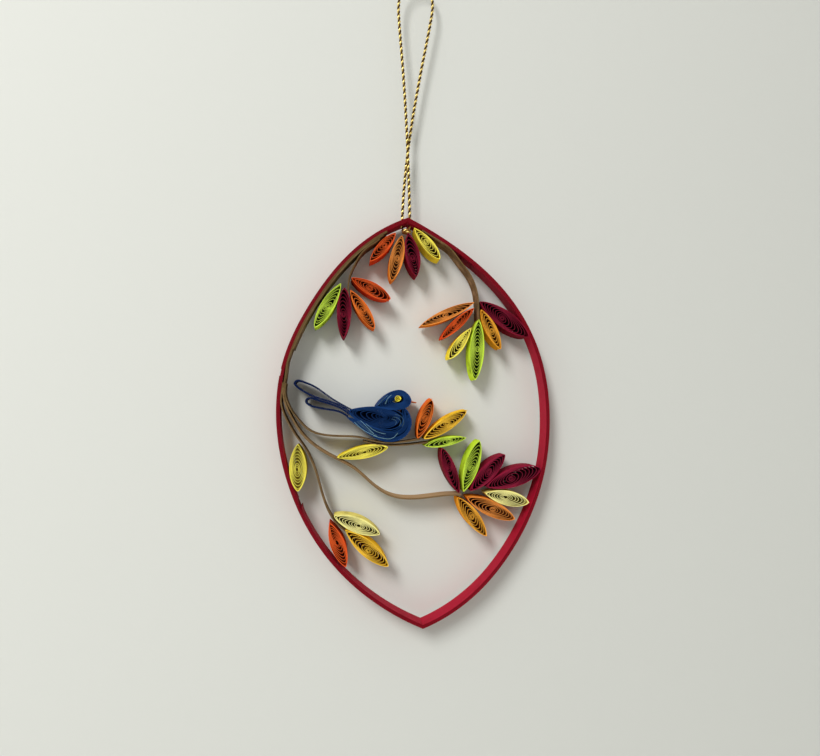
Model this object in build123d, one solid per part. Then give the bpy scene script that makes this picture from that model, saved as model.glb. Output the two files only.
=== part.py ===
from build123d import *
import math
import os

os.makedirs("parts", exist_ok=True)

# A hanging ornament of quilled paper: a pinched hoop with twigs, sprays of coiled leaves and a bird.
# X runs to the right and Z up. The face that is looked at is turned to -Y.
# Every strip stands on its edge, so its width runs along Y, evenly about Y = 0.
# The origin is the middle of the hoop. Lengths are in millimetres and angles in degrees from +X to +Z.

# Paper
strip_width = 5.0  # width of the paper strips, which is the depth of the ornament
paper = 0.14  # one layer
glue_gap = 0.05  # left between two pieces that are glued together

# Hoop, a band of several layers
hoop_height = 94.5
hoop_width = 63.5
hoop_layers = 6

# Twigs and tail feathers, folded strips of a few layers
twig_layers = 2
feather_layers = 2

# Hanging cord
cord_diameter = 0.75
cord_hole_clearance = 0.1  # on the radius, where the cord passes through the hoop
cord_places = (-1.25, -3.05)  # where its two ends pass through the top of the hoop, along X
knot_width = 2.6
knot_height = 1.2
knot_drop = 1.1  # from the hoop's inner corner to the top of the knot

# Leaves that stand alone
single_yellow_width = 4.0
single_gold_width = 3.1
single_gold_length = 11.8

# Bird. The heights are measured square to a coil's axis, below it and above it.
belly_half_width = 1.12
wing_below = 3.0
wing_above = 1.85
head_below = 1.2
head_above = 3.05
eye_diameter = 1.5
beak_length = 1.25

# Straight pieces that the curved strips are drawn with
twig_facet = 2.0
feather_facet = 0.7

hoop_wall = hoop_layers * paper
twig_thickness = twig_layers * paper
feather_thickness = feather_layers * paper

pieces = {}


# Helpers


def at(u, w):
    """A point given as shares of the hoop's half width and half height."""
    return Vector(u * hoop_width / 2, w * hoop_height / 2)


def heading(angle):
    """The unit vector at an angle."""
    return Vector(math.cos(math.radians(angle)), math.sin(math.radians(angle)))


def left_of(direction):
    """The unit vector square to a direction, on its left."""
    return Vector(-direction.Y, direction.X).normalized()


def save(name, face, holes=()):
    """Stands a drawn outline up, as deep as the paper strip is wide, and writes it to its file."""
    piece = extrude(Plane.XZ * face, amount=strip_width / 2, both=True)
    for hole in holes:
        piece -= hole
    piece.label = name
    export_step(piece, "parts/" + name + ".step")
    pieces[name] = piece


def inward(points, distance):
    """The same line moved to its left by a distance, with mitred corners."""
    moved = []
    for i, point in enumerate(points):
        before = left_of(point - points[i - 1]) if i > 0 else None
        after = left_of(points[i + 1] - point) if i + 1 < len(points) else before
        before = before or after
        mitre = (before + after).normalized()
        moved.append(point + mitre * (distance / mitre.dot(before)))
    return moved


def strip(middle, thickness, piece_length):
    """The outline of a strip on edge along a smooth middle line, in short straight pieces."""
    count = math.ceil(middle.length / piece_length)
    points = [middle.position_at(i / count) for i in range(count + 1)]
    left = inward(points, thickness / 2)
    right = inward(points, -thickness / 2)
    return make_face(Polyline(*left, *reversed(right), close=True))


def coil(axis, up, down, turn_steps, far_end=1.0, near_end=1.0, eye=(0.0, 0.0), heart=0.32, slack=0.014):
    """The outline of one strip that is wound into a flat coil and then pressed into shape.

    The coil lies along the axis. At each turn it swings from the axis's far end to its near end
    and back, up to a height on the left and down to a depth on the right. An end's power is 1
    where it is pinched to a point and 0.5 where it stays round, and the corners of the strip lie
    closer together on a round end. The first turn closes on itself,
    and the others shrink evenly to the heart, which lies off the middle by the eye's shares.
    The slack is the least gap between the first turn and the second.
    """
    swing = [i / 200 - 1 for i in range(401)]
    most = max((1 - s) ** far_end * (1 + s) ** near_end for s in swing)
    closing = 2 * (paper + slack) / min(up + down, axis.length / 2)
    shrink = (1 - closing - heart) / (len(turn_steps) - 1)
    points = []
    for turn, steps in enumerate(turn_steps):
        last = 1 if turn + 1 == len(turn_steps) else 0
        for i in range(steps + last):
            part = i / steps
            if turn == 0:
                size = 1 - closing * max(0, 2 * part - 1)
            else:
                size = 1 - closing - shrink * (turn - 1 + part)
            if max(far_end, near_end) < 1:
                s = math.cos(2 * math.pi * part)
            elif near_end < 1:
                s = 1 - 2 * math.sin(math.pi * min(part, 1 - part))
            else:
                s = abs(4 * part - 2) - 1
            bulge = (1 - s) ** far_end * (1 + s) ** near_end / most
            height = up if part < 0.5 else -down
            share = (1 + size * s + eye[0] * (1 - size)) / 2
            across = size * height * bulge + eye[1] * (1 - size)
            points.append(axis.position_at(share) + left_of(axis.tangent_at(share)) * across)
    outline = points + list(reversed(inward(points, paper)))
    return make_face(Polyline(*outline, close=True))


# Hoop: two smooth sides that meet in a pinched point above and below

apex = (-0.060, 1.0)
foot = (0.047, -1.0)
right_shape = [(0.325, 0.848), (0.702, 0.615), (0.920, 0.351), (1.0, 0.0)]
right_shape += [(0.942, -0.297), (0.795, -0.540), (0.470, -0.825)]
left_shape = [(-0.412, 0.861), (-0.771, 0.562), (-0.954, 0.290), (-0.995, -0.040)]
left_shape += [(-0.900, -0.327), (-0.615, -0.669), (-0.260, -0.886)]
right_side = Spline(*[at(*place) for place in [apex] + right_shape + [foot]])
left_side = Spline(*[at(*place) for place in [apex] + left_shape + [foot]])


def square_in(side, share):
    """The unit vector from a side of the hoop to its inside."""
    square = left_of(side.tangent_at(share))
    return square if square.dot(side.position_at(share)) < 0 else -square


def from_hoop(side, share, depth):
    """A point inside the hoop, at a depth under its outer face."""
    return side.position_at(share) + square_in(side, share) * depth


def inner_corner(share):
    """The hoop's inner corner at its apex, at share 0, or at its foot, at share 1."""
    mitre = (square_in(left_side, share) + square_in(right_side, share)).normalized()
    return left_side.position_at(share) + mitre * (hoop_wall / mitre.dot(square_in(left_side, share)))


def inner_side(side):
    """The inner face of one side of the hoop."""
    stations = 24
    points = [from_hoop(side, i / stations, hoop_wall) for i in range(1, stations)]
    return Spline(inner_corner(0), *points, inner_corner(1))


inner_left = inner_side(left_side)
inner_right = inner_side(right_side)
hoop_outline = make_face([left_side, right_side]) - make_face([inner_left, inner_right])
cord_holes = [
    Pos(x, 0, inner_corner(0).Y) * Cylinder(cord_diameter / 2 + cord_hole_clearance, 6 * hoop_wall)
    for x in cord_places
]
save("hoop", hoop_outline, cord_holes)


def beside_hoop(side, share, twigs_between):
    """A point of a twig's middle line where it is glued to the hoop, or to twigs already glued there."""
    layer = twig_thickness + glue_gap
    return from_hoop(side, share, hoop_wall + glue_gap + twig_thickness / 2 + twigs_between * layer)


# Twigs: each starts glued inside the hoop, then leaves it

bird_foot = at(-0.205, -0.1035)  # where the belly is glued to its twig
under_bird = bird_foot - Vector(0, glue_gap + twig_thickness / 2)

twig_lines = {
    "stem_main": [beside_hoop(left_side, share, 0) for share in (0.05, 0.13, 0.21, 0.28, 0.33, 0.36, 0.38)]
    + [beside_hoop(left_side, share, 1) for share in (0.405, 0.42, 0.435)]
    + [at(-0.930, 0.070), at(-0.896, 0.022), at(-0.817, -0.062), at(-0.690, -0.137)]
    + [at(-0.570, -0.183), at(-0.442, -0.232), at(-0.315, -0.307), at(-0.175, -0.364)]
    + [at(-0.047, -0.378), at(0.130, -0.370), at(0.295, -0.363)],
    "stem_lining": [beside_hoop(left_side, share, 1) for share in (0.06, 0.14, 0.22, 0.29, 0.352)],
    "stem_upper_left": [beside_hoop(left_side, share, 2) for share in (0.07, 0.092, 0.11)]
    + [at(-0.448, 0.763), at(-0.481, 0.712), at(-0.494, 0.634)],
    "stem_low": [beside_hoop(left_side, share, 0) for share in (0.42, 0.44, 0.458)]
    + [at(-0.926, 0.005), at(-0.863, -0.068), at(-0.800, -0.127), at(-0.752, -0.187)]
    + [at(-0.703, -0.281), at(-0.669, -0.362), at(-0.632, -0.427), at(-0.598, -0.467)]
    + [at(-0.523, -0.517)],
    "stem_bird": [beside_hoop(left_side, share, 2) for share in (0.42, 0.435)]
    + [at(-0.905, 0.062), at(-0.832, -0.005), at(-0.765, -0.046), at(-0.680, -0.067)]
    + [at(-0.514, -0.076)]
    + [under_bird + Vector(*move) for move in ((-6.0, 1.15), (-3.0, 0.35), (0, 0))]
    + [under_bird + Vector(*move) for move in ((4.0, 0.25), (6.4, 0.65))],
    "stem_bird_lower": [under_bird + Vector(*move) for move in ((-5.6, 0.45), (-3.0, -0.25))]
    + [under_bird + Vector(*move) for move in ((0.2, -0.60), (4.2, -0.50), (8.2, -0.10))],
    "stem_right": [beside_hoop(right_side, share, 0) for share in (0.035, 0.06, 0.08, 0.095)]
    + [at(0.328, 0.792), at(0.397, 0.731), at(0.447, 0.658), at(0.463, 0.590), at(0.467, 0.515)],
}
twigs = {name: Spline(*line) for name, line in twig_lines.items()}
for name, line in twigs.items():
    save(name, strip(line, twig_thickness, twig_facet))


# Leaves: one coil each, pinched at both ends, in sprays round the end of their twig

leaf_turns = (8, 8, 6, 6)  # straight pieces in each turn, from the outside in
narrow_leaf = 2.85  # under this width there is room for one turn less

# name, offset of the leaf's inner tip from the twig's end, angle, length, width
sprays = {
    "crown": (
        inner_corner(0),
        [
            ("red", (-2.75, -2.65), -131, 9.4, 2.8),
            ("amber", (-1.35, -3.25), -103, 11.2, 3.3),
            ("maroon", (0.05, -2.60), -79, 10.6, 3.6),
            ("yellow", (1.40, -1.35), -50, 9.7, 2.9),
        ],
    ),
    "left": (
        twigs["stem_upper_left"].position_at(1),
        [
            ("lime", (-1.65, 1.60), -120, 12.2, 3.3),
            ("maroon", (-0.87, 0.68), -91, 12.0, 3.5),
            ("red", (0.55, 2.90), -28, 10.3, 3.3),
            ("scarlet", (0.35, 0.12), -58, 10.8, 3.0),
        ],
    ),
    "right": (
        twigs["stem_right"].position_at(1),
        [
            ("orange", (-1.00, 3.35), -156, 14.1, 2.7),
            ("red", (-1.13, 2.03), -136.5, 10.8, 2.5),
            ("yellow", (-1.74, -2.55), -126, 9.4, 2.7),
            ("lime", (0.00, -0.55), -94, 14.6, 3.6),
            ("amber", (0.45, 1.75), -63, 10.6, 3.0),
            ("maroon", (0.17, 3.60), -34.5, 0, 4.3),
        ],
    ),
    "perch": (
        twigs["stem_bird"].position_at(1),
        [
            ("orange", (0.46, 0.20), 70, 10.0, 3.1),
            ("amber", (1.85, 0.10), 33, 12.4, 3.2),
            ("lime", (1.90, -1.40), 10.3, 10.2, 2.3),
        ],
    ),
    "fan": (
        twigs["stem_main"].position_at(1),
        [
            ("maroon", (0.64, 0.30), 111, 11.35, 3.0),
            ("lime", (1.60, 0.53), 72, 12.8, 3.6),
            ("wine", (3.18, 0.78), 45, 12.0, 3.7),
            ("claret", (6.84, 1.73), 17, 0, 4.6),
            ("cream", (6.70, 0.26), -13, 10.9, 3.6),
            ("amber", (2.28, -0.54), -25, 12.8, 3.8),
            ("orange", (0.14, -0.50), -53, 11.6, 3.5),
        ],
    ),
    "low": (
        twigs["stem_low"].position_at(1),
        [
            ("yellow", (-2.24, 3.05), -22.5, 11.5, 3.6),
            ("amber", (0.37, -0.17), -40.5, 13.1, 3.8),
            ("red", (-3.10, 1.70), -70, 11.0, 3.5),
        ],
    ),
}


def to_wall(start, angle):
    """How far the hoop's inner face lies from a point, straight ahead at an angle."""
    ahead = heading(angle)
    stations = 400
    hits = []
    for side in (inner_left, inner_right):
        places = [side.position_at(i / stations) - start for i in range(stations + 1)]
        for one, two in zip(places, places[1:]):
            off_one = left_of(ahead).dot(one)
            off_two = left_of(ahead).dot(two)
            if off_one * off_two <= 0 and ahead.dot(one) > 0:
                hits.append(ahead.dot(one + (two - one) * (off_one / (off_one - off_two))))
    return min(hits)


def leaf(name, tip, base, width):
    """One leaf between its two pinched tips."""
    turns = leaf_turns if width > narrow_leaf else leaf_turns[:-1]
    save("leaf_" + name, coil(Line(tip, base), width / 2, width / 2, turns, eye=(0.1, 0.15)))


for spray, (twig_end, leaves) in sprays.items():
    for name, offset, angle, length, width in leaves:
        base = twig_end + Vector(*offset)
        # a length of zero stands for a leaf that reaches the hoop
        length = length or to_wall(base, angle) - glue_gap
        leaf(spray + "_" + name, base + heading(angle) * length, base, width)

# two leaves stand alone: one from a twig down to the hoop, one on the main twig
yellow_tip = from_hoop(left_side, 0.6335, hoop_wall + 0.7)
yellow_base = twigs["stem_low"] @ 0.36 + Vector(0.15, -1.4)
leaf("single_yellow", yellow_tip, yellow_base, single_yellow_width)

main_twig = twigs["stem_main"]
gold_share = 0.683
gold_base = main_twig @ gold_share + left_of(main_twig % gold_share) * (twig_thickness / 2 + 2 * glue_gap)
leaf("single_gold", gold_base + heading(11.0) * single_gold_length, gold_base, single_gold_width)


# Bird, placed from the spot where its belly is glued to the twig


def on_bird(x, z):
    """A point given from the bird's foot."""
    return bird_foot + Vector(x, z)


belly_line = Spline(
    on_bird(3.65, 7.70),
    on_bird(4.45, 5.50),
    on_bird(4.25, 3.30),
    on_bird(2.50, 1.55),
    on_bird(-0.40, 1.13),
    on_bird(-3.35, 2.15),
    on_bird(-6.20, 3.85),
    on_bird(-9.40, 5.70),
)
save("bird_belly", coil(belly_line, belly_half_width, belly_half_width, (36, 28), heart=0.5, slack=0.12))

wing_line = Line(on_bird(3.80, 5.30), on_bird(-8.90, 7.00))
wing_outline = coil(wing_line, wing_below, wing_above, (20, 18, 16, 14), near_end=0.5, heart=0.25)
save("bird_wing", wing_outline)

head_line = Line(on_bird(5.25, 9.38), on_bird(-3.03, 8.11))
head_eye = (-0.23, -1.17)
head_outline = coil(head_line, head_below, head_above, (20, 20, 18), near_end=0.5, eye=head_eye, heart=0.5)
save("bird_head", head_outline)

eye_middle = on_bird(2.29, 9.97)
eye_line = Line(eye_middle - Vector(eye_diameter / 2, 0), eye_middle + Vector(eye_diameter / 2, 0))
eye_radius = eye_diameter / 2
save("bird_eye", coil(eye_line, eye_radius, eye_radius, (12, 10), far_end=0.5, near_end=0.5, heart=0.2))

beak_start = on_bird(5.25 + glue_gap, 9.25)
beak_line = Line(beak_start, beak_start + heading(-12) * beak_length)
save("bird_beak", strip(beak_line, twig_thickness, beak_length))

feather_lines = {
    "bird_tail_upper": [(-8.90, 7.65), (-11.0, 8.80), (-12.8, 9.90), (-15.5, 11.85), (-17.75, 13.15)]
    + [(-19.3, 13.75), (-20.55, 13.98), (-21.2, 13.6), (-20.65, 12.6), (-19.3, 11.65)]
    + [(-17.75, 10.8), (-15.5, 9.95), (-12.1, 8.85), (-9.10, 7.17)],
    "bird_tail_lower": [(-9.30, 6.72), (-12.1, 8.32), (-14.4, 9.08), (-16.6, 9.80), (-18.0, 10.0)]
    + [(-18.65, 9.45), (-18.1, 8.60), (-16.6, 8.0), (-14.35, 7.55), (-12.1, 7.20), (-9.75, 6.20)],
}
for name, line in feather_lines.items():
    middle = Spline(*[on_bird(*place) for place in line])
    save(name, strip(middle, feather_thickness, feather_facet))


# Hanging cord: one length whose two ends pass through the top of the hoop and are knotted under it

knot_top = inner_corner(0).Y - knot_drop
cord_route = [
    (cord_places[0], 0.00, knot_top),
    (cord_places[0] - 0.02, -0.05, 49.5),
    (-1.58, -0.45, 58.0),
    (-1.95, -0.50, 68.0),
    (-2.75, -0.30, 82.0),
    (-3.75, -0.15, 94.0),
    (-4.10, -0.05, 100.5),
    (-2.60, 0.00, 104.9),
    (0.40, 0.05, 106.2),
    (3.40, 0.05, 104.9),
    (4.60, 0.10, 100.5),
    (3.60, 0.20, 94.5),
    (1.35, 0.45, 83.0),
    (-0.90, 0.55, 70.0),
    (-2.20, 0.45, 59.5),
    (cord_places[1] + 0.02, 0.06, 49.5),
    (cord_places[1], 0.00, knot_top),
]


def round_path(route):
    """Straight runs joined by arcs as large as the runs on both sides allow."""
    points = [Vector(*place) for place in route]
    radii = []
    for before, corner, after in zip(points, points[1:], points[2:]):
        turn = math.radians((corner - before).get_angle(after - corner))
        shorter = min((corner - before).length, (after - corner).length)
        radii.append(0.45 * shorter / math.tan(turn / 2))
    print("cord radii", [round(radius, 1) for radius in radii])
    return FilletPolyline(*points, radius=radii)


cord_path = round_path(cord_route)
cord_section = Plane(origin=cord_path @ 0, z_dir=cord_path % 0) * Circle(cord_diameter / 2)
cord = sweep(cord_section, path=cord_path)
cord_area = math.pi * (cord_diameter / 2) ** 2
print("cord length", round(cord_path.length, 2), "volume", round(cord.volume, 3))
print("section times length", round(cord_area * cord_path.length, 3))
cord.label = "hanging_cord"
export_step(cord, "parts/hanging_cord.step")
pieces["hanging_cord"] = cord

knot_middle = sum(cord_places) / 2
knot_chamfer = knot_height / 3
knot = Cylinder(knot_width / 2, knot_height, align=(Align.CENTER, Align.CENTER, Align.MAX))
knot = chamfer(knot.edges().group_by(Axis.Z)[0], knot_chamfer)
knot = Pos(knot_middle, 0, knot_top) * knot
knot.label = "cord_knot"
export_step(knot, "parts/cord_knot.step")
pieces["cord_knot"] = knot

for name, piece in pieces.items():
    print(name, round(piece.volume, 2))
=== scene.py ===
import math
import bpy
import numpy as np
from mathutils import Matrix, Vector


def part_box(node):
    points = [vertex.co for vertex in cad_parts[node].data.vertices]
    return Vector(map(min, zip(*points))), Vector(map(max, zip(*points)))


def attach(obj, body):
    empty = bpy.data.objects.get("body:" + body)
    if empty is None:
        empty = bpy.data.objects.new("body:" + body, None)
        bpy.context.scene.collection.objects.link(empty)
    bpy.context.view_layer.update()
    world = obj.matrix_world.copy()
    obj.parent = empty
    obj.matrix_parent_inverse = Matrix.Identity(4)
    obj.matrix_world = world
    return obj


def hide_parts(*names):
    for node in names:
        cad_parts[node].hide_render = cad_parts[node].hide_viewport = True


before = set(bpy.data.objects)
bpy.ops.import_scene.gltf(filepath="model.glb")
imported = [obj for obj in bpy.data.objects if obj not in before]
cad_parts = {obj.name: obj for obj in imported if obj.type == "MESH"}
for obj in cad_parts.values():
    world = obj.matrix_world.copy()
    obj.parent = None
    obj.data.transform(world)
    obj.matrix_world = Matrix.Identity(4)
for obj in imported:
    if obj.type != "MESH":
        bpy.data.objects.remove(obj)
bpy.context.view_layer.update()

print("frame loaded:", len(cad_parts), "nodes")

# A hanging ornament of quilled paper: a pinched hoop with twigs, sprays of coiled leaves and a bird.
# Shapes are worked out in mm, in the frame's own axes, and turned to metres when a mesh is made.

mm = 0.001
stripHalf = 2.5      # mm, half the width of the paper strips
paperThick = 0.14    # mm, one layer of paper
bevelShare = 0.3     # of half a strip's thickness, taken off its long edges
sharpAngle = 38      # degrees past which an edge of a mesh is shaded sharp


# Camera

camera = {
    "lens": 27.04,                     # mm
    "sensor": 36.0,                    # mm wide
    "azimuth": -6.5,                   # degrees, from straight ahead
    "elevation": -2.5,                 # degrees
    "target": (-1.48, -2.5, 9.79),     # mm, a point of the front face
    "distance": 142.0,                 # mm
    "sees": (0.001, 20.0),             # m, nearest and furthest
}


def makeCamera(look):
    # the camera stands at its distance from the target, turned by azimuth and elevation
    a = math.radians(look["azimuth"])
    e = math.radians(look["elevation"])
    back = np.array([math.sin(a) * math.cos(e), -math.cos(a) * math.cos(e), math.sin(e)])
    data = bpy.data.cameras.new("camera")
    data.lens = look["lens"]
    data.sensor_width = look["sensor"]
    data.clip_start, data.clip_end = look["sees"]
    made = bpy.data.objects.new("camera", data)
    bpy.context.scene.collection.objects.link(made)
    made.location = (np.array(look["target"]) + back * look["distance"]) * mm
    made.rotation_euler = (math.radians(90) - e, 0, a)
    bpy.context.scene.camera = made


makeCamera(camera)
print("camera placed")


# Materials

def linear(hexText):
    # an sRGB hex value turned to linear red, green, blue, alpha
    parts = [int(hexText[i:i + 2], 16) / 255 for i in (1, 3, 5)]
    return tuple(p / 12.92 if p <= 0.04045 else ((p + 0.055) / 1.055) ** 2.4 for p in parts) + (1.0,)


def addNode(tree, kind, settings=None, sockets=None):
    # one node: its settings, and for each input socket a value or another node's output
    node = tree.nodes.new(kind)
    for name, value in (settings or {}).items():
        setattr(node, name, value)
    for name, value in (sockets or {}).items():
        if isinstance(value, bpy.types.NodeSocket):
            tree.links.new(value, node.inputs[name])
        else:
            node.inputs[name].default_value = value
    return node


def newMaterial(name):
    # an empty material with its output node
    made = bpy.data.materials.new(name)
    made.use_nodes = True
    made.node_tree.nodes.clear()
    output = made.node_tree.nodes.new("ShaderNodeOutputMaterial")
    return made, made.node_tree, output


# Uncoated dyed paper, slit by knife: matt and a little fibrous, with a paler cut edge, partly the
# paper's own and partly painted highlight where the front edges face the light
paperLook = {
    "roughness": 0.78,
    "ior": 1.5,
    "fibre": 0.22,        # mm, drawn coarser than real fibres so that it shows
    "fibreShare": 0.5,    # what the fibres add to the shade, where the dye clouds add 1
    "cloud": 2.4,         # mm, uneven dye
    "toneShare": 0.25,    # what the mesh's "tone" adds to it
    "bodyUpTo": 0.62,     # the shade past which the body colour goes over to the deep one
    "bump": 0.012,        # mm
    "sheen": 0.08,        # specular level: soft paper mirrors little of the room
}


def paperMaterial(name, body, shadeAndDeep, edge, share=0.75, gloss=0.0):
    # fibres, dye clouds and "tone" add up to a shade that mixes body and deep, and "rim" marks the cut
    # edges, which go to the edge colour by the share. Where "tone" is raised inside a coil or along
    # stem_main, the deep colour is painted shade; elsewhere it is a random darker tone. A paler edge
    # colour is partly painted highlight.
    made, tree, output = newMaterial(name)
    place = addNode(tree, "ShaderNodeTexCoord").outputs["Object"]
    fibre = addNode(tree, "ShaderNodeTexNoise", None, {
        "Vector": place, "Scale": 1 / (paperLook["fibre"] * mm), "Detail": 4.0, "Roughness": 0.6})
    cloud = addNode(tree, "ShaderNodeTexNoise", None, {
        "Vector": place, "Scale": 1 / (paperLook["cloud"] * mm), "Detail": 3.0, "Roughness": 0.5})
    tone = addNode(tree, "ShaderNodeAttribute", {"attribute_name": "tone"})
    rim = addNode(tree, "ShaderNodeAttribute", {"attribute_name": "rim"})
    grain = addNode(tree, "ShaderNodeMath", {"operation": "MULTIPLY_ADD"}, {
        0: fibre.outputs["Fac"], 1: paperLook["fibreShare"], 2: cloud.outputs["Fac"]})
    shade = addNode(tree, "ShaderNodeMath", {"operation": "MULTIPLY_ADD", "use_clamp": True}, {
        0: tone.outputs["Fac"], 1: paperLook["toneShare"], 2: grain.outputs[0]})
    ramp = addNode(tree, "ShaderNodeValToRGB", None, {"Fac": shade.outputs[0]})
    ramp.color_ramp.elements[0].position = paperLook["bodyUpTo"]
    ramp.color_ramp.elements[0].color = linear(body)
    ramp.color_ramp.elements[1].position = 1.0
    ramp.color_ramp.elements[1].color = linear(shadeAndDeep)
    edgeShare = addNode(tree, "ShaderNodeMath", {"operation": "MULTIPLY"}, {
        0: rim.outputs["Fac"], 1: share})
    colour = addNode(tree, "ShaderNodeMix", {"data_type": "RGBA"}, {
        0: edgeShare.outputs[0], 6: ramp.outputs["Color"], 7: linear(edge)})
    relief = addNode(tree, "ShaderNodeBump", None, {
        "Height": grain.outputs[0], "Distance": paperLook["bump"] * mm, "Strength": 1.0})
    shader = addNode(tree, "ShaderNodeBsdfPrincipled", None, {
        "Base Color": colour.outputs[2], "Normal": relief.outputs["Normal"],
        "Roughness": paperLook["roughness"] - gloss, "IOR": paperLook["ior"],
        "Specular IOR Level": paperLook["sheen"]})
    tree.links.new(shader.outputs["BSDF"], output.inputs["Surface"])
    return made


# each sheet's colour in the light; deep, the painted shade in the folds of a coil; and on the cut
# edge, paler, partly as painted highlight
papers = {
    "lime": ("#cdee34", "#294606", "#d2f052"),
    "yellow": ("#fde232", "#8e6c0c", "#fff566"),
    "cream": ("#f9ea7c", "#857026", "#fffaa6"),
    "sun": ("#ffca1c", "#8e4a04", "#ffcf44"),
    "amber": ("#f49e1a", "#7e3c06", "#fdb63e"),
    "tangerine": ("#ea841e", "#702c06", "#f79c4a"),
    "orange": ("#ea6614", "#701c04", "#f58032"),
    "scarlet": ("#de4610", "#5e0f02", "#ea6028"),
    "maroon": ("#76061c", "#200206", "#8c1c36"),
    "wine": ("#880a2c", "#28020a", "#9a2240"),
}
paperMaterials = {name: paperMaterial("dyed_paper_" + name, *shades) for name, shades in papers.items()}
hoopMaterial = paperMaterial("dyed_paper_hoop", "#ac1230", "#8c0a20", "#6a0812", share=0.9, gloss=0.15)
# body and deep are a lit and a shaded copy of one brown: painted light of the top walls and painted shade of
# the undersides, which stem_main runs between; the other twigs mix them by random tone
twigMaterial = paperMaterial("brown_craft_paper", "#b2906a", "#6a5234", "#6a5432", share=0.8)
birdMaterial = paperMaterial("dyed_paper_blue", "#0f3468", "#07183a", "#143a70", share=0.6, gloss=0.1)
featherMaterial = paperMaterial("dyed_paper_navy", "#0c2452", "#081838", "#0a1c46", share=0.8, gloss=0.1)
# painted highlights: pale lines on the bird's turns where their edges catch the light
glintMaterial = paperMaterial("dyed_paper_blue_painted_glints", "#0f3468", "#0a2450", "#8cb4b8", share=0.9)
eyeMaterial = paperMaterial("dyed_paper_eye", "#fbdc2a", "#a88410", "#fff04a")
beakMaterial = paperMaterial("dyed_paper_beak", "#b85c34", "#8a3c1c", "#c47048")


# Metallised thread, one bright ply and one ply coloured dark twisted together: shiny, with fine foil
# wraps. The dark ply is painted shade and reflection, standing for the dark gaps between the strands
threadLook = {
    "gold": "#f6da82",
    "shadedPly": "#4e3410",
    "roughness": 0.36,
    "wrap": 0.16,         # mm, from one foil wrap to the next
    "bump": 0.01,         # mm
    "bumpStrength": 0.8,
}


def threadMaterial(name, look):
    # the foil wraps are a sine of "along", the mm along a ply, and "rim" is 1 on the ply painted dark
    # as shade between the strands
    made, tree, output = newMaterial(name)
    along = addNode(tree, "ShaderNodeAttribute", {"attribute_name": "along"})
    ply = addNode(tree, "ShaderNodeAttribute", {"attribute_name": "rim"})
    turns = addNode(tree, "ShaderNodeMath", {"operation": "MULTIPLY"}, {
        0: along.outputs["Fac"], 1: 2 * math.pi / look["wrap"]})
    wave = addNode(tree, "ShaderNodeMath", {"operation": "SINE"}, {0: turns.outputs[0]})
    colour = addNode(tree, "ShaderNodeMix", {"data_type": "RGBA"}, {
        0: ply.outputs["Fac"], 6: linear(look["gold"]), 7: linear(look["shadedPly"])})
    relief = addNode(tree, "ShaderNodeBump", None, {
        "Height": wave.outputs[0], "Distance": look["bump"] * mm, "Strength": look["bumpStrength"]})
    shader = addNode(tree, "ShaderNodeBsdfPrincipled", None, {
        "Base Color": colour.outputs[2], "Normal": relief.outputs["Normal"],
        "Roughness": look["roughness"], "Metallic": 1.0})
    tree.links.new(shader.outputs["BSDF"], output.inputs["Surface"])
    return made


goldThread = threadMaterial("metallised_thread", threadLook)
print("materials made")


# Lines: rows of points, (x, z) in the plane of the ornament or (x, y, z)

def unit(rows):
    # each row brought to length 1
    return rows / np.linalg.norm(rows, axis=-1, keepdims=True)


def runOf(line, closed=False):
    # which way the line runs at each point, from the points on both sides of it
    return np.roll(line, -1, 0) - np.roll(line, 1, 0) if closed else np.gradient(line, axis=0)


def leftOf(line, closed=False):
    # which way is left of the line at each (x, z) point, as rows of length 1
    run = runOf(line, closed)
    return unit(np.stack([-run[:, 1], run[:, 0]], 1))


def offsetLine(line, distance):
    # the line moved to its left
    return line + leftOf(line) * distance


def lengthsOf(line):
    # how far along the line each of its points lies
    return np.concatenate([[0], np.cumsum(np.linalg.norm(np.diff(line, axis=0), axis=1))])


def readAt(places, known, line):
    # the line read at the places, when its own points lie at the known ones
    return np.stack([np.interp(places, known, column) for column in line.T], 1)


def evenly(line, count):
    # the same line read again at even steps of its length
    lengths = lengthsOf(line)
    return readAt(np.linspace(0, lengths[-1], count), lengths, line)


def smoothLine(points, count):
    # a cubic through all points with even bending (second derivatives from one linear system, zero at
    # both ends), against the length of the chords, read finely and then evened out
    points = np.asarray(points, float)
    gaps = np.linalg.norm(np.diff(points, axis=0), axis=1)
    at = lengthsOf(points)
    n = len(points)
    matrix = np.eye(n)
    right = np.zeros((n, points.shape[1]))
    inner = np.arange(1, n - 1)
    matrix[inner, inner - 1] = gaps[:-1] / 6
    matrix[inner, inner] = (gaps[:-1] + gaps[1:]) / 3
    matrix[inner, inner + 1] = gaps[1:] / 6
    slope = np.diff(points, axis=0) / gaps[:, None]
    right[inner] = slope[1:] - slope[:-1]
    bend = np.linalg.solve(matrix, right)
    where = np.linspace(0, at[-1], count * 4)
    k = np.clip(np.searchsorted(at, where, side="right") - 1, 0, n - 2)
    h = gaps[k][:, None]
    a, b = (at[k + 1] - where)[:, None] / h, (where - at[k])[:, None] / h
    curve = a * points[k] + b * points[k + 1]
    curve = curve + ((a ** 3 - a) * bend[k] + (b ** 3 - b) * bend[k + 1]) * h ** 2 / 6
    return evenly(curve, count)


def swingOf(random, places, rates):
    # a slow random swing between -1 and 1: sines at the rates, each with its own strength and start
    return np.tanh(sum(random.uniform(-1, 1) * np.sin(rate * places + random.uniform(0, 6))
                       for rate in rates))


# Mesh makers

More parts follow.
